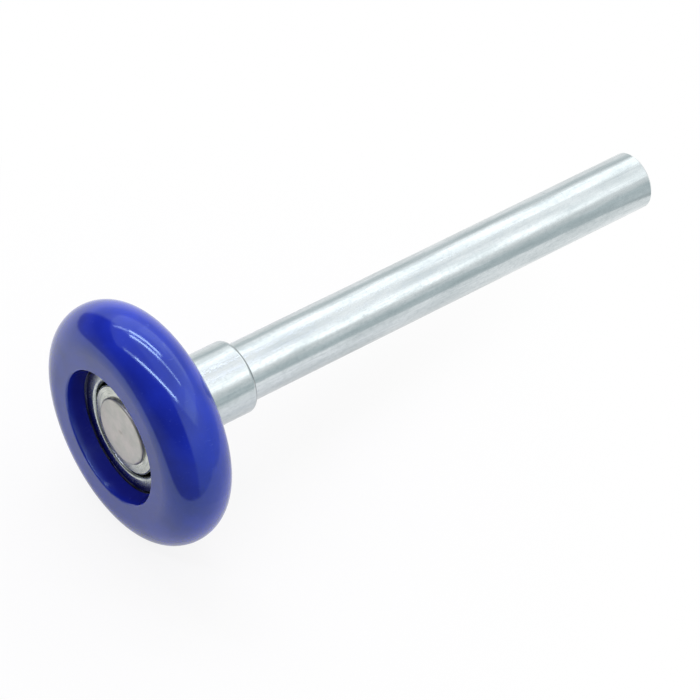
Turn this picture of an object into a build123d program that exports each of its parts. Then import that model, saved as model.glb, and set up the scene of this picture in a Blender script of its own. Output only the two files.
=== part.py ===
from build123d import *
import math
import os

# Garage door roller: a nylon wheel moulded round a shielded ball bearing, which is
# riveted to the end of a plain steel stem.
#
# Millimetres, +Z up. The origin is the wheel's centre, where the spin axis +Y crosses
# the wheel's middle plane. The stem leaves the wheel towards +Y, so the outer face with
# the rivet head looks along -Y. "Front" is that outer side, "back" is the stem's side.

# Wheel
wheel_diameter = 46.0
wheel_width = 13.2
back_recess_depth = 0.9       # the bearing's face below the wheel's back face
lip_cover = 2.9               # reach of the moulded lips over the outer ring's faces
mouth_flare = 0.8             # how much each recess opens from the bearing to its mouth
mouth_edge_radius = 0.35

# Bearing rings
bearing_outer_diameter = 30.0
bearing_bore = 10.0
bearing_width = 9.0
ring_corner = 0.6             # chamfers at the outside corners and at the bore
land_edge_radius = 0.35       # rounded edges of the inner ring's shoulders

# Balls and races
ball_diameter = 4.762
ball_count = 8
race_conformity = 0.52        # groove radius as a share of the ball's diameter
race_depth = 0.95             # the shoulders' height over the groove's bottom
race_clearance = 0.03         # between each ball and the bottom of its groove

# Cage of two pressed ribbons
cage_sheet = 0.4
cage_band_width = 2.2
pocket_clearance = 0.1
rivet_diameter = 0.9
rivet_head_diameter = 1.5
rivet_head_height = 0.3
rivet_head_chamfer = 0.2

# Shields
shield_sheet = 0.3
shield_seat_width = 1.35      # from the outer ring's land out to the shield groove
shield_crimp = 0.4            # the ring's lip in front of the shield's rim
shield_rim_depth = 0.55       # the rim's outside below the ring's face
shield_inset = 0.15           # the raised flat below the ring's face
shield_rim_width = 0.85       # flat rim, of which the crimp holds the outer part
shield_step_width = 0.35      # slope between the rim and the raised flat
shield_gap = 0.62             # round the inner ring
shield_curl = 0.75            # inner edge turned in towards the balls
shield_bend_radius = 0.6      # of that turn, on the side that shows

# Stem, and the collar held between its shoulder and the bearing
stem_diameter = 11.1
stem_reach = 114.0            # from the wheel's middle plane to the stem's free end
stem_end_chamfer = 0.5
head_diameter = 12.8
head_height = 0.65
head_edge_radius = 0.45
head_dish_depth = 0.12        # shallow hollow that the riveting tool leaves
head_dish_diameter = 9.6
collar_diameter = 13.9
collar_length = 15.2
collar_back_radius = 0.8      # rounded edge towards the stem
collar_front_radius = 0.4     # rounded edge towards the bearing
collar_seat_diameter = 10.5   # turned down on the stem, so that the collar has a shoulder
shoulder_chamfer = 0.2        # on the stem, beside the collar

# Planes and radii that follow from the sizes above
half_width = wheel_width / 2
bearing_back = half_width - back_recess_depth
bearing_front = bearing_back - bearing_width
bearing_middle = (bearing_front + bearing_back) / 2
collar_back = bearing_back + collar_length
bearing_radius = bearing_outer_diameter / 2
bore_radius = bearing_bore / 2
ball_radius = ball_diameter / 2
pitch_radius = (bore_radius + bearing_radius) / 2    # the balls run midway between the rings
groove_radius = race_conformity * ball_diameter
inner_race_radius = pitch_radius - ball_radius - race_clearance
outer_race_radius = pitch_radius + ball_radius + race_clearance
inner_land_radius = inner_race_radius + race_depth
outer_land_radius = outer_race_radius - race_depth
shield_groove_radius = outer_land_radius + shield_seat_width
ball_pitch_angle = 360 / ball_count
rivet_angles = [(index + 0.5) * ball_pitch_angle for index in range(ball_count)]


def with_round(section, radius, height, round_radius):
    """Round one corner of a flat section. Sections are drawn in the XY plane, as distance
    from the spin axis and height along it, and are then revolved about +Y."""
    corner = section.vertices().sort_by_distance((radius, height, 0))[0]
    return fillet(corner, round_radius)


def wheel():
    """Nylon wheel: full-round tread, flat faces, a flared recess each side and a pocket
    that is moulded tight round the bearing's outer ring."""
    lip_radius = bearing_radius - lip_cover
    mouth_radius = lip_radius + mouth_flare
    tread_centre = wheel_diameter / 2 - half_width
    tread = ThreePointArc(
        (tread_centre, half_width), (wheel_diameter / 2, 0), (tread_centre, -half_width)
    )
    inside = Polyline(
        (tread_centre, -half_width),
        (mouth_radius, -half_width),
        (lip_radius, bearing_front),
        (bearing_radius - ring_corner, bearing_front),
        (bearing_radius, bearing_front + ring_corner),
        (bearing_radius, bearing_back - ring_corner),
        (bearing_radius - ring_corner, bearing_back),
        (lip_radius, bearing_back),
        (mouth_radius, half_width),
        (tread_centre, half_width),
    )
    section = make_face(tread + inside)
    section = with_round(section, mouth_radius, -half_width, mouth_edge_radius)
    section = with_round(section, mouth_radius, half_width, mouth_edge_radius)
    return revolve(section, Axis.Y)


def race_arc(bottom_radius, land_radius):
    """Arc of a ball groove, from its front shoulder to its back shoulder."""
    outward = 1 if bottom_radius > land_radius else -1
    centre_radius = bottom_radius - outward * groove_radius
    reach = math.sqrt(groove_radius**2 - (land_radius - centre_radius) ** 2)
    return ThreePointArc(
        (land_radius, bearing_middle - reach),
        (bottom_radius, bearing_middle),
        (land_radius, bearing_middle + reach),
    )


def outer_ring():
    """Outer ring: a deep ball groove, and a shield seat with a crimped lip at each face."""
    mouth_radius = shield_groove_radius - shield_crimp
    seat_depth = shield_rim_depth + shield_sheet
    race = race_arc(outer_race_radius, outer_land_radius)

    def end(face_plane, inward):
        return [
            (outer_land_radius, face_plane + inward * seat_depth),
            (shield_groove_radius, face_plane + inward * seat_depth),
            (shield_groove_radius, face_plane + inward * shield_rim_depth),
            (mouth_radius, face_plane + inward * shield_rim_depth),
            (mouth_radius, face_plane),
            (bearing_radius - ring_corner, face_plane),
            (bearing_radius, face_plane + inward * ring_corner),
        ]

    outline = Polyline(race @ 0, *end(bearing_front, 1), *reversed(end(bearing_back, -1)), race @ 1)
    return revolve(make_face(race + outline), Axis.Y)


def inner_ring():
    """Inner ring: the matching groove, chamfered bore, rounded shoulders."""
    race = race_arc(inner_race_radius, inner_land_radius)
    outline = Polyline(
        race @ 0,
        (inner_land_radius, bearing_front),
        (bore_radius + ring_corner, bearing_front),
        (bore_radius, bearing_front + ring_corner),
        (bore_radius, bearing_back - ring_corner),
        (bore_radius + ring_corner, bearing_back),
        (inner_land_radius, bearing_back),
        race @ 1,
    )
    section = make_face(race + outline)
    section = with_round(section, inner_land_radius, bearing_front, land_edge_radius)
    section = with_round(section, inner_land_radius, bearing_back, land_edge_radius)
    return revolve(section, Axis.Y)


def shield(face_plane, inward):
    """Pressed shield: rim in the outer ring's groove, a slope up to a raised flat, and an
    inner edge that curls in beside the inner ring without touching it."""
    rim_inner = shield_groove_radius - shield_rim_width
    flat_outer = rim_inner - shield_step_width
    edge_radius = inner_land_radius + shield_gap
    step_angle = math.atan2(shield_rim_depth - shield_inset, shield_step_width)
    step_shift = shield_sheet * math.tan(step_angle / 2)    # keeps the sheet's thickness
    outside = [
        (shield_groove_radius, shield_rim_depth),
        (rim_inner, shield_rim_depth),
        (flat_outer, shield_inset),
        (edge_radius, shield_inset),
        (edge_radius, shield_inset + shield_curl),
    ]
    inside = [
        (edge_radius + shield_sheet, shield_inset + shield_curl),
        (edge_radius + shield_sheet, shield_inset + shield_sheet),
        (flat_outer - step_shift, shield_inset + shield_sheet),
        (rim_inner - step_shift, shield_rim_depth + shield_sheet),
        (shield_groove_radius, shield_rim_depth + shield_sheet),
    ]
    points = [(radius, face_plane + inward * depth) for radius, depth in outside + inside]
    section = make_face(Polyline(*points, close=True))
    flat_plane = face_plane + inward * shield_inset
    section = with_round(section, edge_radius, flat_plane, shield_bend_radius)
    section = with_round(
        section,
        edge_radius + shield_sheet,
        flat_plane + inward * shield_sheet,
        shield_bend_radius - shield_sheet,
    )
    return revolve(section, Axis.Y)


def around(angle):
    """Place on the pitch circle, in the bearing's middle plane, turned to face outwards."""
    return Pos(0, bearing_middle, 0) * Rot(0, angle, 0) * Pos(pitch_radius, 0, 0)


def ball(index):
    """One bearing ball."""
    return around(index * ball_pitch_angle) * Sphere(ball_radius)


def along_axis(radius, bottom, top):
    """Cylinder round a line parallel to +Y, from one height to another."""
    return Pos(0, (bottom + top) / 2, 0) * Rot(90, 0, 0) * Cylinder(radius, top - bottom)


def pockets(radius, side):
    """Spheres round all the balls. Each has its poles along the wheel's radius and its seam
    on the far side of the ribbon, so that neither lies in a pocket."""
    sphere = Rot(-90 * side, 0, 0) * Rot(0, 90, 0) * Sphere(radius)
    return [around(index * ball_pitch_angle) * sphere for index in range(ball_count)]


def cage_ribbon(side):
    """One of the two pressed ribbons, on the front (-1) or back (1) of the middle plane: a
    flat annular strip that bulges into a round pocket over each ball."""
    pocket_radius = ball_radius + pocket_clearance
    bulge_radius = pocket_radius + cage_sheet
    band_inner = pitch_radius - cage_band_width / 2
    band_outer = pitch_radius + cage_band_width / 2
    low, high = sorted((0, side * bulge_radius))
    strip_low, strip_high = sorted((0, side * cage_sheet))
    at_middle = Pos(0, bearing_middle, 0)
    band = at_middle * (along_axis(band_outer, low, high) - along_axis(band_inner, low, high))
    ribbon = at_middle * along_axis(band_outer, strip_low, strip_high)
    ribbon = ribbon + pockets(bulge_radius, side)
    ribbon = ribbon & band
    ribbon = ribbon - pockets(pocket_radius, side)
    hole = along_axis(rivet_diameter / 2, -cage_sheet, cage_sheet)
    return ribbon - [around(angle) * hole for angle in rivet_angles]


def cage_rivets():
    """Rivets with chamfered heads that join the two ribbons between the balls."""
    head_radius = rivet_head_diameter / 2
    head_top = cage_sheet + rivet_head_height
    upper = [
        (rivet_diameter / 2, cage_sheet),
        (head_radius, cage_sheet),
        (head_radius, head_top - rivet_head_chamfer),
        (head_radius - rivet_head_chamfer, head_top),
        (0, head_top),
    ]
    lower = [(radius, -height) for radius, height in reversed(upper)]
    rivet = revolve(make_face(Polyline(*lower, *upper, close=True)), Axis.Y)
    return Compound(children=[around(angle) * rivet for angle in rivet_angles])


def stem():
    """Steel stem: plain rod, a seat for the collar, a journal through the bearing and a
    head that is riveted over against the inner ring."""
    head_top = bearing_front - head_height
    rod_radius = stem_diameter / 2
    seat_radius = collar_seat_diameter / 2
    points = [
        (0, head_top + head_dish_depth),
        (head_dish_diameter / 2, head_top),
        (head_diameter / 2, head_top),
        (head_diameter / 2, bearing_front),
        (bore_radius, bearing_front),
        (bore_radius, bearing_back),
        (seat_radius, bearing_back),
        (seat_radius, collar_back),
        (rod_radius - shoulder_chamfer, collar_back),
        (rod_radius, collar_back + shoulder_chamfer),
        (rod_radius, stem_reach - stem_end_chamfer),
        (rod_radius - stem_end_chamfer, stem_reach),
        (0, stem_reach),
    ]
    section = make_face(Polyline(*points, close=True))
    section = with_round(section, head_diameter / 2, head_top, head_edge_radius)
    return revolve(section, Axis.Y)


def collar():
    """Sleeve between the stem's shoulder and the bearing's inner ring."""
    seat_radius = collar_seat_diameter / 2
    outer = collar_diameter / 2
    points = [
        (seat_radius, bearing_back),
        (outer, bearing_back),
        (outer, collar_back),
        (seat_radius, collar_back),
    ]
    section = make_face(Polyline(*points, close=True))
    section = with_round(section, outer, bearing_back, collar_front_radius)
    section = with_round(section, outer, collar_back, collar_back_radius)
    return revolve(section, Axis.Y)


nodes = {
    "wheel": wheel(),
    "outer_ring": outer_ring(),
    "inner_ring": inner_ring(),
    "front_shield": shield(bearing_front, 1),
    "back_shield": shield(bearing_back, -1),
    "front_cage_ribbon": cage_ribbon(-1),
    "back_cage_ribbon": cage_ribbon(1),
    "cage_rivets": cage_rivets(),
    "stem": stem(),
    "collar": collar(),
}
for index in range(ball_count):
    nodes[f"ball_{index + 1}"] = ball(index)

os.makedirs("parts", exist_ok=True)
for name, shape in nodes.items():
    export_step(shape, f"parts/{name}.step")
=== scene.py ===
# Garage door roller: a nylon wheel on a shielded ball bearing, riveted to a zinc plated steel stem.
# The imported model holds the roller's own shapes. This file adds the finishes, the bearing's grease,
# the light, the table and the camera.
import math
import bpy
from mathutils import Matrix, Vector


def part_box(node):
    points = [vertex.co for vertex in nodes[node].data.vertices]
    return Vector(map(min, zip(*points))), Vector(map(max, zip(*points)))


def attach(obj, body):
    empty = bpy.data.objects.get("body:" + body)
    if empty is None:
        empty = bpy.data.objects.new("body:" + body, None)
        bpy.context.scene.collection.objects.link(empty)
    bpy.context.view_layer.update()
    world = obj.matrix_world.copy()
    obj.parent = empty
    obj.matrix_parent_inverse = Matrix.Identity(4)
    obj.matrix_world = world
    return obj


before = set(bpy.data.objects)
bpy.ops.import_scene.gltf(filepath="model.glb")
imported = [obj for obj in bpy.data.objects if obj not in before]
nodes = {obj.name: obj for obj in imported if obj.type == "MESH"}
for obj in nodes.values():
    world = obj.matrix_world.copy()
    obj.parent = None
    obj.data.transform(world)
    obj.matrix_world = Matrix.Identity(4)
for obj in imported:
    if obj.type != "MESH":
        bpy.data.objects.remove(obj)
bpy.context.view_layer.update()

ballNames = sorted(name for name in nodes if name.startswith("ball_"))
mm = 0.001
print("model loaded,", len(nodes), "nodes")


def toLinear(hexColour):
    # sRGB hex to the linear colour that a shader wants
    parts = [int(hexColour[i:i + 2], 16) / 255 for i in (1, 3, 5)]
    return (*[p / 12.92 if p <= 0.04045 else ((p + 0.055) / 1.055) ** 2.4 for p in parts], 1.0)


def addNode(tree, kind, settings, stops=()):
    # settings: the node's own first, then its inputs by name or number, each a number, a hex
    # colour or another node's output. stops: places and colours along a colour ramp.
    node = tree.nodes.new(kind)
    for name, value in settings.items():
        if isinstance(name, str) and hasattr(node, name):
            setattr(node, name, value)
            continue
        shown = [socket for socket in node.inputs if socket.enabled]
        socket = shown[name] if isinstance(name, int) else next(s for s in shown if s.name == name)
        if isinstance(value, bpy.types.NodeSocket):
            tree.links.new(value, socket)
        else:
            socket.default_value = toLinear(value) if isinstance(value, str) else value
    for number, (place, value) in enumerate(stops):
        elements = node.color_ramp.elements
        stop = elements[number] if number < len(elements) else elements.new(place)
        stop.position = place
        stop.color = toLinear(value) if isinstance(value, str) else (value, value, value, 1)
    return next(socket for socket in node.outputs if socket.enabled)


def newMaterial(name, settings):
    # a Principled material, and its Object coordinates in millimetres
    material = bpy.data.materials.new(name)
    material.use_nodes = True
    tree = material.node_tree
    shader = tree.nodes["Principled BSDF"]
    for socket, value in settings.items():
        shader.inputs[socket].default_value = toLinear(value) if isinstance(value, str) else value
    place = tree.nodes.new("ShaderNodeTexCoord").outputs["Object"]
    place = addNode(tree, "ShaderNodeVectorMath", {"operation": "SCALE", 0: place, "Scale": 1 / mm})
    return material, tree, shader, place


def roundTheAxis(tree, place):
    # distance from the spin axis, place along it, and the direction outwards from it
    flat = addNode(tree, "ShaderNodeVectorMath", {"operation": "MULTIPLY", 0: place, 1: (1, 0, 1)})
    radius = addNode(tree, "ShaderNodeVectorMath", {"operation": "LENGTH", 0: flat})
    outward = addNode(tree, "ShaderNodeVectorMath", {"operation": "NORMALIZE", 0: flat})
    parts = tree.nodes.new("ShaderNodeSeparateXYZ")
    tree.links.new(place, parts.inputs[0])
    return radius, parts.outputs["Y"], outward


def toolRings(tree, radius, outward, pitch, breaks):
    # fine rings round the spin axis, pitch mm apart, broken up about so many times in a turn
    ring = addNode(tree, "ShaderNodeMath", {"operation": "DIVIDE", 0: radius, 1: pitch})
    ring = addNode(tree, "ShaderNodeCombineXYZ", {"Y": ring})
    turn = addNode(tree, "ShaderNodeVectorMath", {
        "operation": "SCALE", 0: outward, "Scale": breaks / math.pi})
    turn = addNode(tree, "ShaderNodeVectorMath", {"operation": "ADD", 0: turn, 1: ring})
    return addNode(tree, "ShaderNodeTexNoise", {"Vector": turn, "Scale": 1.0, "Detail": 1.0})


def dress(material, *names):
    for name in names:
        for slot in nodes[name].material_slots:
            slot.link = "OBJECT"
            slot.material = material


# camera
view = {
    "cameraAt": (361.9, -258.8, 455.1),   # mm from the wheel's centre
    "lookAt": (2.3, 45.0, -5.2),          # mm
    "roll": 4.1,                          # degrees
    "lens": 187.0,                        # mm, on a sensor 36 mm wide
    "clip": (0.02, 20.0),                 # m
}
cameraAt, lookAt = Vector(view["cameraAt"]), Vector(view["lookAt"])
aim = (lookAt - cameraAt).to_track_quat("-Z", "Y").to_matrix()
roll = Matrix.Rotation(math.radians(view["roll"]), 3, "Z")
bpy.ops.object.camera_add(location=cameraAt * mm, rotation=(aim @ roll).to_euler())
camera = bpy.context.object
camera.name = "camera"
camera.data.lens = view["lens"]
camera.data.clip_start, camera.data.clip_end = view["clip"]
bpy.context.scene.camera = camera
print("camera placed")

# Room: x to the right of the view, y away from it, z up from the table. The roller lies on the
# wheel's round edge and on the stem's end, so in the model's own frame the table slopes up under
# the stem.
table = {
    "nearLeft": (-0.24, -0.055),    # m from the wheel's centre to the board's corners; it ends
    "farRight": (0.095, 0.60),      # just past the stem's end
    "gap": 0.02,                    # mm under the wheel
    "stemRadius": 5.55,             # mm, where the stem's end touches
    "stemChamfer": 0.5,             # mm
    "stemTurn": 41,                 # degrees from the stem to x
    "colour": "#E1DED8", "roughness": 0.9, "gloss": 0.1,
    "white": 0.88,                  # how far the camera sees it as plain white, so shadows stay faint
    "mirroredWhite": 0.5,           # how far the roller mirrors it as plain white
    "allWhite": (0.04, 0.095),      # m from the wheel's centre, over which both grow to 1
}
wheelRadius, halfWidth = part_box("wheel")[1].z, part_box("wheel")[1].y
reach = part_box("stem")[1].y - table["stemChamfer"] * mm
drop = wheelRadius - halfWidth - table["stemRadius"] * mm
slope = math.atan2(drop, reach) + math.asin(halfWidth / math.hypot(reach, drop))
upright = Vector((0, -math.sin(slope), math.cos(slope)))
along = Vector((0, math.cos(slope), math.sin(slope)))
stemTurn = math.radians(table["stemTurn"])
roomX = along * math.cos(stemTurn) - upright.cross(along) * math.sin(stemTurn)
room = Matrix((roomX, upright.cross(roomX), upright)).transposed()
depth = (wheelRadius - halfWidth) * math.cos(slope) + halfWidth + table["gap"] * mm
nearLeft, farRight = Vector(table["nearLeft"]), Vector(table["farRight"])
bpy.ops.object.select_all(action="DESELECT")
bpy.ops.mesh.primitive_plane_add(
    size=1.0, location=room @ Vector((*(nearLeft + farRight) / 2, -depth)), rotation=room.to_euler())
board = bpy.context.object
board.name = "table"
board.scale = (*(farRight - nearLeft), 1.0)

# white lacquered board, matt and even; clear from below, so that low views from behind see the roller
lacquer, tree, shader = newMaterial("whiteLacqueredBoard", {
    "Base Color": table["colour"], "Roughness": table["roughness"],
    "Specular IOR Level": table["gloss"]})[:3]
ray = tree.nodes.new("ShaderNodeLightPath").outputs
white = addNode(tree, "ShaderNodeEmission", {"Strength": 1.0})
surface = tree.nodes.new("ShaderNodeNewGeometry").outputs
away = addNode(tree, "ShaderNodeVectorMath", {"operation": "LENGTH", 0: surface["Position"]})
mirrored = addNode(tree, "ShaderNodeMapRange", {
    "Value": away, "From Min": table["allWhite"][0], "From Max": table["allWhite"][1],
    "To Min": table["mirroredWhite"]})
direct = addNode(tree, "ShaderNodeMapRange", {
    "Value": away, "From Min": table["allWhite"][0], "From Max": table["allWhite"][1],
    "To Min": table["white"]})
mirrored = addNode(tree, "ShaderNodeMath", {
    "operation": "MULTIPLY", 0: ray["Is Glossy Ray"], 1: mirrored})
direct = addNode(tree, "ShaderNodeMath", {"operation": "MULTIPLY", 0: ray["Is Camera Ray"], 1: direct})
amount = addNode(tree, "ShaderNodeMath", {"operation": "MAXIMUM", 0: direct, 1: mirrored})
asSeen = addNode(tree, "ShaderNodeMixShader", {0: amount, 1: shader.outputs[0], 2: white})
clear = addNode(tree, "ShaderNodeBsdfTransparent", {})
oneSided = addNode(tree, "ShaderNodeMixShader", {0: surface["Backfacing"], 1: asSeen, 2: clear})
tree.links.new(oneSided, tree.nodes["Material Output"].inputs["Surface"])
board.data.materials.append(lacquer)
print("table placed, sloping", round(math.degrees(slope), 2), "degrees")

lamps = {
    "height": 0.9,          # m over the wheel's centre
    "softStep": 0.01,       # share of the height that each soft lamp hangs below the one before
    "tubeHeight": 0.95,     # share of the height at which the tubes hang
    "turn": -21.4,          # degrees, from x to the rows of lamps on the ceiling
    "softColour": "#FFFFFF", "tubeColour": "#E2E4FF",
}
# The lamps, in shares of the height they hang at: ends along the rows, edges across, and brightness.
softLamps = {
    "softCeiling": (-1.5, 1.9, -0.45, 2.0, 0.45),
    "farWindow": (0.2, 1.3, 1.35, 2.1, 0.5),
    "leftWindow": (-0.45, 0.3, 0.85, 1.9, 0.35),
    "rightWindow": (0.95, 2.3, -0.35, 0.6, 0.32),
}
tubes = {
    "nearTube": (-0.61, 0.61, -0.395, -0.325, 15.0),
    "nearTubeEnd": (-1.05, -0.61, -0.400, -0.320, 4.0),
    "middleTube": (-0.62, 0.12, 0.290, 0.375, 12.0),
    "middleTubeEnd": (0.12, 0.75, 0.290, 0.375, 5.0),
    "farTube": (-0.66, 0.16, 0.480, 0.580, 12.0),
    "leftTube": (-1.30, -0.70, 0.460, 0.540, 5.0),
}
rows = room @ Matrix.Rotation(math.radians(lamps["turn"]), 3, "Z")


def addLamp(name, left, right, front, back, brightness, height, colour):
    size = Vector((right - left, back - front)) * height
    middle = Vector(((left + right) / 2, (front + back) / 2, 1.0)) * height
    bpy.ops.object.light_add(type="AREA", location=rows @ middle, rotation=rows.to_euler())
    lamp = bpy.context.object
    lamp.name = name
    lamp.data.shape = "RECTANGLE"
    lamp.data.size, lamp.data.size_y = size
    lamp.data.energy = brightness * math.pi * size.x * size.y
    lamp.data.color = toLinear(colour)[:3]


for number, (name, ends) in enumerate(softLamps.items()):
    addLamp(name, *ends, lamps["height"] * (1 - lamps["softStep"] * number), lamps["softColour"])
for name, ends in tubes.items():
    addLamp(name, *ends, lamps["height"] * lamps["tubeHeight"], lamps["tubeColour"])

# Walls: pale, but greyer from the table's level down except on the far wall, and dim where the
# viewer stands. Each stop has its height, from 0 straight down over 0.5 at the table's level to 1
# straight up, and there a hex colour or a linear brightness.
walls = {
    "pale": (
        (0.0, 0.45), (0.3, "#CDD4D6"), (0.46, "#C8D0D2"), (0.49, "#CCD4D6"), (0.51, "#C8D2D4"),
        (0.53, "#C8D2D4"), (0.55, "#D6DCDE"), (0.6, "#E0E4E5"), (0.68, 0.92), (0.8, 0.9), (1.0, 0.4)),
    "far": (
        (0.0, 0.95), (0.5, 0.95), (0.55, "#DCE2E3"), (0.65, "#D8DEDF"), (0.7, 0.92), (0.8, 0.9),
        (1.0, 0.4)),
    "dim": ((0.0, 0.3), (0.46, 0.3), (0.5, 0.24), (0.56, 0.2), (0.62, 0.09), (1.0, 0.09)),
    "farEdge": (0.4, 0.7),      # cosines from y, between which the far wall's tones come in
    "dimTurn": -150.0,          # degrees, from x to the middle of the dim side
    "dimEdge": (0.11, 0.21),    # cosines from there, between which the dim tones come in
}
world = bpy.data.worlds.new("room")
bpy.context.scene.world = world
world.use_nodes = True
tree = world.node_tree
tree.nodes.clear()
direction = tree.nodes.new("ShaderNodeTexCoord").outputs["Generated"]
rise = addNode(tree, "ShaderNodeVectorMath", {"operation": "DOT_PRODUCT", 0: direction, 1: upright})
level = addNode(tree, "ShaderNodeMapRange", {"Value": rise, "From Min": -1.0, "From Max": 1.0})
pale = addNode(tree, "ShaderNodeValToRGB", {"Fac": level}, stops=walls["pale"])
farWall = addNode(tree, "ShaderNodeValToRGB", {"Fac": level}, stops=walls["far"])
dim = addNode(tree, "ShaderNodeValToRGB", {"Fac": level}, stops=walls["dim"])
toFar = addNode(tree, "ShaderNodeVectorMath", {
    "operation": "DOT_PRODUCT", 0: direction, 1: room.col[1]})
toFar = addNode(tree, "ShaderNodeMapRange", {
    "Value": toFar, "From Min": walls["farEdge"][0], "From Max": walls["farEdge"][1]})
pale = addNode(tree, "ShaderNodeMix", {"data_type": "RGBA", "Factor": toFar, "A": pale, "B": farWall})
dimSide = room @ Matrix.Rotation(math.radians(walls["dimTurn"]), 3, "Z") @ Vector((1, 0, 0))
toDim = addNode(tree, "ShaderNodeVectorMath", {"operation": "DOT_PRODUCT", 0: direction, 1: dimSide})
toDim = addNode(tree, "ShaderNodeMapRange", {
    "Value": toDim, "From Min": walls["dimEdge"][0], "From Max": walls["dimEdge"][1]})
seen = addNode(tree, "ShaderNodeMix", {"data_type": "RGBA", "Factor": toDim, "A": pale, "B": dim})
roomLight = addNode(tree, "ShaderNodeBackground", {"Color": seen, "Strength": 1.0})
backdrop = addNode(tree, "ShaderNodeBackground", {"Color": "#FFFFFF", "Strength": 1.0})
cameraRay = tree.nodes.new("ShaderNodeLightPath").outputs["Is Camera Ray"]
shown = addNode(tree, "ShaderNodeMixShader", {0: cameraRay, 1: roomLight, 2: backdrop})
tree.links.new(shown, tree.nodes.new("ShaderNodeOutputWorld").inputs["Surface"])
print("room lit")

# In the finishes below, "Edge" values are the levels of a pattern between which it goes from nothing
# to its full strength.

# Moulded nylon, coloured right through: the polished mould leaves a smooth glossy skin with slow
# waves and a faint orange peel, so that lamps show in it as thin, slightly broken streaks.
nylon = {
    "blue": "#1A2DAD", "deepBlue": "#162595", "worn": "#6678D4",
    "ior": 1.53, "gloss": 0.6, "glossTint": "#DCFFFF",
    "roughness": (0.08, 0.12), "haze": 2.5, "hazeEdge": (0.3, 0.7),     # mm, the haze's patches
    "cloud": 8.0, "cloudEdge": (0.35, 0.65),                            # mm, from the melt's flow
    "wave": 6.0, "waveDepth": 0.011,                                    # mm
    "peel": 1.3, "peelDepth": 0.002,                                    # mm
    "scuff": (0.45, 2.5, 0.45), "scuffEdge": (0.62, 0.76), "scuffs": 0.2,   # mm, and their strength
    # painted shade in the recesses, darker from the mouth inwards, with a rougher, less glossy skin
    # there: mm from the axis, and mm from the middle plane
    "paintedShadeRadius": 12.95, "paintedShadeDepth": (6.5, 5.3),
    "grease": "#1D1E74", "paintedShadeAmount": 0.7, "recessRoughness": 0.1, "recessGloss": 0.1,
}
material, tree, shader, place = newMaterial("mouldedNylon", {
    "IOR": nylon["ior"], "Specular Tint": nylon["glossTint"]})
cloud = addNode(tree, "ShaderNodeTexNoise", {"Vector": place, "Scale": 1 / nylon["cloud"], "Detail": 3.0})
cloud = addNode(tree, "ShaderNodeMapRange", {
    "Value": cloud, "From Min": nylon["cloudEdge"][0], "From Max": nylon["cloudEdge"][1]})
body = addNode(tree, "ShaderNodeMix", {
    "data_type": "RGBA", "Factor": cloud, "A": nylon["blue"], "B": nylon["deepBlue"]})
stretched = addNode(tree, "ShaderNodeVectorMath", {"operation": "DIVIDE", 0: place, 1: nylon["scuff"]})
scuff = addNode(tree, "ShaderNodeTexNoise", {
    "Vector": stretched, "Scale": 1.0, "Detail": 4.0, "Roughness": 0.7})
scuff = addNode(tree, "ShaderNodeMapRange", {
    "Value": scuff, "From Min": nylon["scuffEdge"][0], "From Max": nylon["scuffEdge"][1],
    "To Max": nylon["scuffs"]})
colour = addNode(tree, "ShaderNodeMix", {
    "data_type": "RGBA", "Factor": scuff, "A": body, "B": nylon["worn"]})
radius, alongAxis = roundTheAxis(tree, place)[:2]
fromMiddle = addNode(tree, "ShaderNodeMath", {"operation": "ABSOLUTE", 0: alongAxis})
# painted shade: inside the recesses the blue darkens towards the bearing to the dark navy colour, and the
# skin turns rougher and less glossy
film = addNode(tree, "ShaderNodeMapRange", {
    "Value": fromMiddle, "From Min": nylon["paintedShadeDepth"][0], "From Max": nylon["paintedShadeDepth"][1]})
inside = addNode(tree, "ShaderNodeMath", {"operation": "LESS_THAN", 0: radius, 1: nylon["paintedShadeRadius"]})
film = addNode(tree, "ShaderNodeMath", {"operation": "MULTIPLY", 0: film, 1: inside})
amount = addNode(tree, "ShaderNodeMath", {"operation": "MULTIPLY", 0: film, 1: nylon["paintedShadeAmount"]})
colour = addNode(tree, "ShaderNodeMix", {
    "data_type": "RGBA", "Factor": amount, "A": colour, "B": nylon["grease"]})
tree.links.new(colour, shader.inputs["Base Color"])
haze = addNode(tree, "ShaderNodeTexNoise", {"Vector": place, "Scale": 1 / nylon["haze"], "Detail": 4.0})
haze = addNode(tree, "ShaderNodeMapRange", {
    "Value": haze, "From Min": nylon["hazeEdge"][0], "From Max": nylon["hazeEdge"][1],
    "To Min": nylon["roughness"][0], "To Max": nylon["roughness"][1]})
haze = addNode(tree, "ShaderNodeMath", {"operation": "ADD", 0: haze, 1: scuff})
haze = addNode(tree, "ShaderNodeMath", {
    "operation": "MULTIPLY_ADD", 0: film, 1: nylon["recessRoughness"], 2: haze})
tree.links.new(haze, shader.inputs["Roughness"])
gloss = addNode(tree, "ShaderNodeMapRange", {
    "Value": film, "To Min": nylon["gloss"], "To Max": nylon["recessGloss"]})
tree.links.new(gloss, shader.inputs["Specular IOR Level"])
wave = addNode(tree, "ShaderNodeTexNoise", {"Vector": place, "Scale": 1 / nylon["wave"], "Detail": 1.0})
skin = addNode(tree, "ShaderNodeBump", {
    "Strength": 1.0, "Distance": nylon["waveDepth"] * mm, "Height": wave})
peel = addNode(tree, "ShaderNodeTexNoise", {"Vector": place, "Scale": 1 / nylon["peel"], "Detail": 2.0})
skin = addNode(tree, "ShaderNodeBump", {
    "Strength": 1.0, "Distance": nylon["peelDepth"] * mm, "Height": peel, "Normal": skin})
tree.links.new(skin, shader.inputs["Normal"])
dress(material, "wheel")
print("wheel finished")

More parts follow.
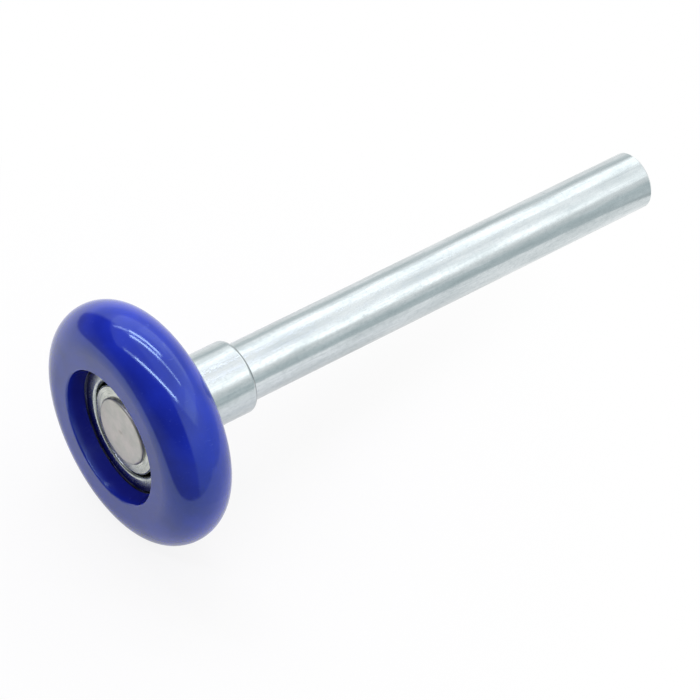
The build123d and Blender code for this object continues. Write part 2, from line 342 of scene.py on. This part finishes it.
# Bright zinc plate on cold drawn rod: pale with a cold tint, a cloudy grain from the bath, and
# drawing lines along the rod. The riveted head is beaten dull, and the far end is sawn and faced.
zinc = {
    "light": "#D8DFE1", "dull": "#C0C9CB", "speck": "#A2ADB2",
    "roughness": (0.13, 0.19), "grainRoughness": 0.1, "grainRoughnessEdge": (0.4, 0.8),
    "cloud": (1.9, 14.0, 1.9), "cloudEdge": (0.35, 0.68),               # mm
    "grain": (0.7, 1.0, 0.7), "grainEdge": (0.46, 0.76), "grains": 0.35,    # mm, and their strength
    "line": (0.5, 26.0, 0.5), "lineEdge": (0.52, 0.8), "lines": 0.4,    # mm, wider than the real ones,
    "lineDepth": 0.0025,                                                # so that they show
    "headFrom": -3.3,                                   # mm along the axis, and the head lies before it
    "head": "#CFCBC5", "headDull": "#BEC0B8", "headRoughness": 0.26,
    "dent": 2.8, "dentEdge": (0.35, 0.7), "dentDepth": 0.1,             # mm
    "endFrom": 113.8, "endPitch": 0.3, "endDepth": 0.02, "endBreaks": 4,    # mm, and in a turn
    "groove": 20.85, "grooveShadeColour": "#3A4448",           # mm along the axis, beside the collar, where a thin line of painted shade lies at the joint
    "grooveEdge": (0.2, 0.5), "grooveAmount": 0.8,      # mm from its middle, over which the painted shade fades out
}
material, tree, shader, place = newMaterial("zincPlatedSteel", {"Metallic": 1.0})
radius, alongAxis, outward = roundTheAxis(tree, place)
stretched = addNode(tree, "ShaderNodeVectorMath", {"operation": "DIVIDE", 0: place, 1: zinc["cloud"]})
cloud = addNode(tree, "ShaderNodeTexNoise", {
    "Vector": stretched, "Scale": 1.0, "Detail": 3.0, "Roughness": 0.6})
cloud = addNode(tree, "ShaderNodeMapRange", {
    "Value": cloud, "From Min": zinc["cloudEdge"][0], "From Max": zinc["cloudEdge"][1]})
stretched = addNode(tree, "ShaderNodeVectorMath", {"operation": "DIVIDE", 0: place, 1: zinc["grain"]})
grain = addNode(tree, "ShaderNodeTexNoise", {
    "Vector": stretched, "Scale": 1.0, "Detail": 3.0, "Roughness": 0.7})
stretched = addNode(tree, "ShaderNodeVectorMath", {"operation": "DIVIDE", 0: place, 1: zinc["line"]})
line = addNode(tree, "ShaderNodeTexNoise", {
    "Vector": stretched, "Scale": 1.0, "Detail": 3.0, "Roughness": 0.7})
plate = addNode(tree, "ShaderNodeMix", {
    "data_type": "RGBA", "Factor": cloud, "A": zinc["light"], "B": zinc["dull"]})
speck = addNode(tree, "ShaderNodeMapRange", {
    "Value": grain, "From Min": zinc["grainEdge"][0], "From Max": zinc["grainEdge"][1],
    "To Max": zinc["grains"]})
plate = addNode(tree, "ShaderNodeMix", {
    "data_type": "RGBA", "Factor": speck, "A": plate, "B": zinc["speck"]})
score = addNode(tree, "ShaderNodeMapRange", {
    "Value": line, "From Min": zinc["lineEdge"][0], "From Max": zinc["lineEdge"][1],
    "To Max": zinc["lines"]})
plate = addNode(tree, "ShaderNodeMix", {
    "data_type": "RGBA", "Factor": score, "A": plate, "B": zinc["speck"]})
isHead = addNode(tree, "ShaderNodeMath", {"operation": "LESS_THAN", 0: alongAxis, 1: zinc["headFrom"]})
dent = addNode(tree, "ShaderNodeTexNoise", {
    "Vector": place, "Scale": 1 / zinc["dent"], "Detail": 3.0, "Roughness": 0.6})
beaten = addNode(tree, "ShaderNodeMapRange", {
    "Value": dent, "From Min": zinc["dentEdge"][0], "From Max": zinc["dentEdge"][1]})
beaten = addNode(tree, "ShaderNodeMix", {
    "data_type": "RGBA", "Factor": beaten, "A": zinc["head"], "B": zinc["headDull"]})
colour = addNode(tree, "ShaderNodeMix", {"data_type": "RGBA", "Factor": isHead, "A": plate, "B": beaten})
# painted shade: a thin dark line on the zinc where the stem meets the collar's end
fromGroove = addNode(tree, "ShaderNodeMath", {"operation": "SUBTRACT", 0: alongAxis, 1: zinc["groove"]})
fromGroove = addNode(tree, "ShaderNodeMath", {"operation": "ABSOLUTE", 0: fromGroove})
grooveShade = addNode(tree, "ShaderNodeMapRange", {
    "Value": fromGroove, "From Min": zinc["grooveEdge"][0], "From Max": zinc["grooveEdge"][1],
    "To Min": zinc["grooveAmount"], "To Max": 0.0})
colour = addNode(tree, "ShaderNodeMix", {
    "data_type": "RGBA", "Factor": grooveShade, "A": colour, "B": zinc["grooveShadeColour"]})
tree.links.new(colour, shader.inputs["Base Color"])
haze = addNode(tree, "ShaderNodeMapRange", {
    "Value": cloud, "To Min": zinc["roughness"][0], "To Max": zinc["roughness"][1]})
grit = addNode(tree, "ShaderNodeMapRange", {
    "Value": grain, "From Min": zinc["grainRoughnessEdge"][0], "From Max": zinc["grainRoughnessEdge"][1],
    "To Max": zinc["grainRoughness"]})
haze = addNode(tree, "ShaderNodeMath", {"operation": "ADD", 0: haze, 1: grit})
haze = addNode(tree, "ShaderNodeMath", {
    "operation": "MULTIPLY_ADD", 0: isHead, 1: zinc["headRoughness"], 2: haze})
tree.links.new(haze, shader.inputs["Roughness"])
skin = addNode(tree, "ShaderNodeBump", {
    "Strength": 1.0, "Distance": zinc["lineDepth"] * mm, "Height": line})
isEnd = addNode(tree, "ShaderNodeMath", {"operation": "GREATER_THAN", 0: alongAxis, 1: zinc["endFrom"]})
faced = toolRings(tree, radius, outward, zinc["endPitch"], zinc["endBreaks"])
faced = addNode(tree, "ShaderNodeMath", {"operation": "MULTIPLY", 0: faced, 1: isEnd})
skin = addNode(tree, "ShaderNodeBump", {
    "Strength": 1.0, "Distance": zinc["endDepth"] * mm, "Height": faced, "Normal": skin})
beat = addNode(tree, "ShaderNodeMath", {"operation": "MULTIPLY", 0: dent, 1: isHead})
skin = addNode(tree, "ShaderNodeBump", {
    "Strength": 1.0, "Distance": zinc["dentDepth"] * mm, "Height": beat, "Normal": skin})
tree.links.new(skin, shader.inputs["Normal"])
dress(material, "stem", "collar")
print("stem and collar finished")

# Hardened bearing steel, ground: fine rings round the bore, with a dull film of old grease.
rings = {
    "bright": "#D5D9CE", "film": "#ABB1A6", "score": "#8F938E",
    "roughness": (0.18, 0.32), "roughnessEdge": (0.3, 0.7),
    "pitch": 0.16, "depth": 0.002, "breaks": 9,     # mm and in a turn; the real grinding is finer
    "scoreEdge": (0.45, 0.8), "scores": 0.5,
    "stain": 2.6, "stainEdge": (0.4, 0.7), "stains": 0.7,   # mm, and their strength
}
material, tree, shader, place = newMaterial("groundBearingSteel", {"Metallic": 1.0})
radius, alongAxis, outward = roundTheAxis(tree, place)
ground = toolRings(tree, radius, outward, rings["pitch"], rings["breaks"])
stain = addNode(tree, "ShaderNodeTexNoise", {"Vector": place, "Scale": 1 / rings["stain"], "Detail": 4.0})
stain = addNode(tree, "ShaderNodeMapRange", {
    "Value": stain, "From Min": rings["stainEdge"][0], "From Max": rings["stainEdge"][1],
    "To Max": rings["stains"]})
colour = addNode(tree, "ShaderNodeMix", {
    "data_type": "RGBA", "Factor": stain, "A": rings["bright"], "B": rings["film"]})
score = addNode(tree, "ShaderNodeMapRange", {
    "Value": ground, "From Min": rings["scoreEdge"][0], "From Max": rings["scoreEdge"][1],
    "To Max": rings["scores"]})
colour = addNode(tree, "ShaderNodeMix", {
    "data_type": "RGBA", "Factor": score, "A": colour, "B": rings["score"]})
tree.links.new(colour, shader.inputs["Base Color"])
haze = addNode(tree, "ShaderNodeMapRange", {
    "Value": ground, "From Min": rings["roughnessEdge"][0], "From Max": rings["roughnessEdge"][1],
    "To Min": rings["roughness"][0], "To Max": rings["roughness"][1]})
tree.links.new(haze, shader.inputs["Roughness"])
skin = addNode(tree, "ShaderNodeBump", {
    "Strength": 1.0, "Distance": rings["depth"] * mm, "Height": ground})
tree.links.new(skin, shader.inputs["Normal"])
dress(material, "inner_ring", "outer_ring")

# Lapped ball steel: the same steel, polished to a mirror, with a thin smear of grease.
balls = {
    "bright": "#D8D9D6", "film": "#B0B2AC",
    "smear": 0.9, "smearEdge": (0.4, 0.7),      # mm
    "roughness": (0.04, 0.13),
}
material, tree, shader, place = newMaterial("lappedBallSteel", {"Metallic": 1.0})
smear = addNode(tree, "ShaderNodeTexNoise", {"Vector": place, "Scale": 1 / balls["smear"], "Detail": 3.0})
smear = addNode(tree, "ShaderNodeMapRange", {
    "Value": smear, "From Min": balls["smearEdge"][0], "From Max": balls["smearEdge"][1]})
colour = addNode(tree, "ShaderNodeMix", {
    "data_type": "RGBA", "Factor": smear, "A": balls["bright"], "B": balls["film"]})
tree.links.new(colour, shader.inputs["Base Color"])
haze = addNode(tree, "ShaderNodeMapRange", {
    "Value": smear, "To Min": balls["roughness"][0], "To Max": balls["roughness"][1]})
tree.links.new(haze, shader.inputs["Roughness"])
dress(material, *ballNames)
print("rings and balls finished")

# Pressed sheet steel with a thin zinc wash: satin and faintly green, rubbed round by the press.
sheet = {
    "light": "#D2D9D4", "dull": "#A2AAA6", "rub": "#8A918D",
    "roughness": (0.2, 0.34),
    "blotch": 1.3, "blotchEdge": (0.38, 0.72),      # mm
    "pitch": 0.24, "depth": 0.003, "breaks": 14,    # mm and in a turn, of the rubbing marks
    "rubEdge": (0.48, 0.8), "rubs": 0.5,
    "grease": "#141A62", "paintedShadeFrom": (9.9, 11.2), "paintedShadeAmount": 0.94,   # mm; painted shade, tinted the navy of the nylon wall beside it, over the outer edge in the corner
}
material, tree, shader, place = newMaterial("pressedSheetSteel", {"Metallic": 1.0})
radius, alongAxis, outward = roundTheAxis(tree, place)
rub = toolRings(tree, radius, outward, sheet["pitch"], sheet["breaks"])
blotch = addNode(tree, "ShaderNodeTexNoise", {
    "Vector": place, "Scale": 1 / sheet["blotch"], "Detail": 4.0, "Roughness": 0.65})
blotch = addNode(tree, "ShaderNodeMapRange", {
    "Value": blotch, "From Min": sheet["blotchEdge"][0], "From Max": sheet["blotchEdge"][1]})
colour = addNode(tree, "ShaderNodeMix", {
    "data_type": "RGBA", "Factor": blotch, "A": sheet["light"], "B": sheet["dull"]})
score = addNode(tree, "ShaderNodeMapRange", {
    "Value": rub, "From Min": sheet["rubEdge"][0], "From Max": sheet["rubEdge"][1],
    "To Max": sheet["rubs"]})
colour = addNode(tree, "ShaderNodeMix", {
    "data_type": "RGBA", "Factor": score, "A": colour, "B": sheet["rub"]})
# painted shade: from 9.9 mm outwards the sheet darkens to the navy of the shadowed nylon wall that it
# faces
film = addNode(tree, "ShaderNodeMapRange", {
    "Value": radius, "From Min": sheet["paintedShadeFrom"][0], "From Max": sheet["paintedShadeFrom"][1],
    "To Max": sheet["paintedShadeAmount"]})
colour = addNode(tree, "ShaderNodeMix", {
    "data_type": "RGBA", "Factor": film, "A": colour, "B": sheet["grease"]})
tree.links.new(colour, shader.inputs["Base Color"])
haze = addNode(tree, "ShaderNodeMapRange", {
    "Value": blotch, "To Min": sheet["roughness"][0], "To Max": sheet["roughness"][1]})
tree.links.new(haze, shader.inputs["Roughness"])
skin = addNode(tree, "ShaderNodeBump", {
    "Strength": 1.0, "Distance": sheet["depth"] * mm, "Height": rub})
tree.links.new(skin, shader.inputs["Normal"])
dress(material, "front_shield", "back_shield", "front_cage_ribbon", "back_cage_ribbon", "cage_rivets")
print("shields and cage finished")

# Bearing grease, pressed out along the cage's inner edge between the balls: soft and glossy, dark
# with old steel dust, and streaked with amber where it is fresh.
grease = {
    "radius": 8.74, "thick": 0.3,   # mm, the bead's middle from the axis, and half its thickness
    "widen": 2.2,                   # its width along the axis over its thickness
    "ballAngle": 10.5,              # degrees to each side of a ball's middle that the beads leave free
    "facets": (160, 8),             # round the axis, and round the bead
    "uneven": 0.05, "seed": 3,      # mm
    "smoothing": 1,                 # levels
    "ior": 1.47, "roughness": (0.22, 0.4),
    "dark": "#24241F", "amber": "#6B5A32",
    "streak": 0.7, "streakEdge": (0.5, 0.75),   # mm
    "ripple": 0.35, "rippleDepth": 0.03,        # mm
}
ballLow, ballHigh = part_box("ball_1")
ballSpacing = 360 / len(ballNames)
bpy.ops.object.select_all(action="DESELECT")
bpy.ops.mesh.primitive_torus_add(
    location=(0, (ballLow.y + ballHigh.y) / 2, 0), rotation=(math.pi / 2, 0, 0),
    major_radius=grease["radius"] * mm, minor_radius=grease["thick"] * mm,
    major_segments=grease["facets"][0], minor_segments=grease["facets"][1])
bead = bpy.context.object
bead.name = "grease"
bead.scale.z = grease["widen"]
bpy.ops.object.transform_apply(location=True, rotation=True, scale=True)
bpy.ops.object.mode_set(mode="EDIT")
bpy.ops.mesh.select_all(action="DESELECT")
bpy.ops.object.mode_set(mode="OBJECT")
for vertex in bead.data.vertices:
    fromBall = math.degrees(math.atan2(vertex.co.z, vertex.co.x)) % ballSpacing
    vertex.select = min(fromBall, ballSpacing - fromBall) < grease["ballAngle"]
bpy.ops.object.mode_set(mode="EDIT")
bpy.ops.mesh.delete(type="VERT")
bpy.ops.mesh.select_all(action="SELECT")
bpy.ops.mesh.fill_holes(sides=0)
bpy.ops.mesh.normals_make_consistent(inside=False)
bpy.ops.transform.vertex_random(
    offset=grease["uneven"] * mm, uniform=0.0, normal=1.0, seed=grease["seed"])
bpy.ops.object.mode_set(mode="OBJECT")
smooth = bead.modifiers.new("smooth", "SUBSURF")
smooth.levels = smooth.render_levels = grease["smoothing"]
bpy.ops.object.modifier_apply(modifier="smooth")
bpy.ops.object.shade_smooth()
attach(bead, "cage")

material, tree, shader, place = newMaterial("bearingGrease", {"IOR": grease["ior"]})
streak = addNode(tree, "ShaderNodeTexNoise", {
    "Vector": place, "Scale": 1 / grease["streak"], "Detail": 3.0})
streak = addNode(tree, "ShaderNodeMapRange", {
    "Value": streak, "From Min": grease["streakEdge"][0], "From Max": grease["streakEdge"][1]})
colour = addNode(tree, "ShaderNodeMix", {
    "data_type": "RGBA", "Factor": streak, "A": grease["dark"], "B": grease["amber"]})
tree.links.new(colour, shader.inputs["Base Color"])
haze = addNode(tree, "ShaderNodeMapRange", {
    "Value": streak, "To Min": grease["roughness"][0], "To Max": grease["roughness"][1]})
tree.links.new(haze, shader.inputs["Roughness"])
ripple = addNode(tree, "ShaderNodeTexNoise", {
    "Vector": place, "Scale": 1 / grease["ripple"], "Detail": 2.0})
skin = addNode(tree, "ShaderNodeBump", {
    "Strength": 1.0, "Distance": grease["rippleDepth"] * mm, "Height": ripple})
tree.links.new(skin, shader.inputs["Normal"])
bead.data.materials.append(material)
print("grease pressed out,", len(bead.data.polygons), "faces")

bpy.context.scene.view_settings.view_transform = "Standard"
